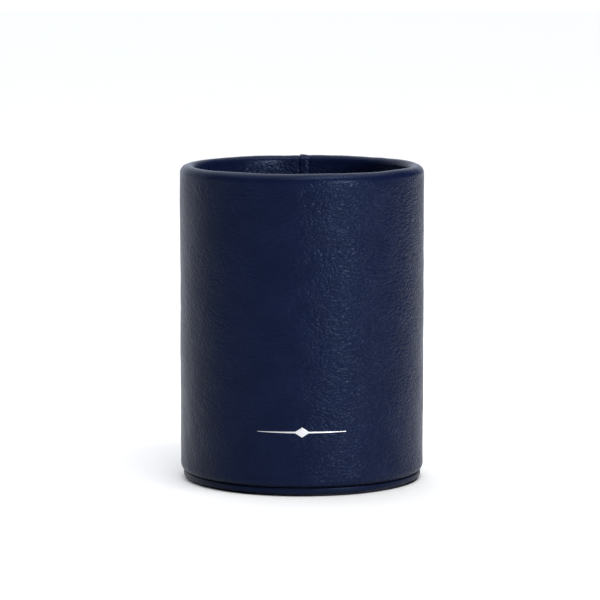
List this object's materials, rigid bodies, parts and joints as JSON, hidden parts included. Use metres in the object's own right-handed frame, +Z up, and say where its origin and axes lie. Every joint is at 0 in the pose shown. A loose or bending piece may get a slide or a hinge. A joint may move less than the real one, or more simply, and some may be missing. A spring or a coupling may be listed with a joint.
{
  "type": "pen holder cup",
  "caption": "Round leather-covered desk cup for pens, with a rounded rim, a lined inside and a low leather-covered base.",
  "frame": {"origin": "centre of the flat underside of the felt, where the cup rests on the desk", "axes": "+Z up along the cup's axis; the front with the foil ornament faces -Y, and the leather's lap seam is at the back, +Y"},
  "size_m": [0.082, 0.0824, 0.1063],
  "materials": {
    "grained_leather": "satin",
    "smooth_leather": "satin",
    "wall_lining": "matte",
    "floor_lining": "matte",
    "tube_board": "matte",
    "plug_board": "matte",
    "lining_card": "matte",
    "backing_felt": "matte",
    "silver_foil": "polished"
  },
  "bodies": {
    "root": {"outer_leather": "grained_leather", "core_tube": "tube_board", "tube_floor": "plug_board", "sleeve_card": "lining_card", "lining_wall": "wall_lining", "floor_card": "lining_card", "floor_lining": "floor_lining", "base_board": "plug_board", "base_leather": "smooth_leather", "base_felt": "backing_felt", "foil_ornament": "silver_foil"}
  },
  "joints": []
}
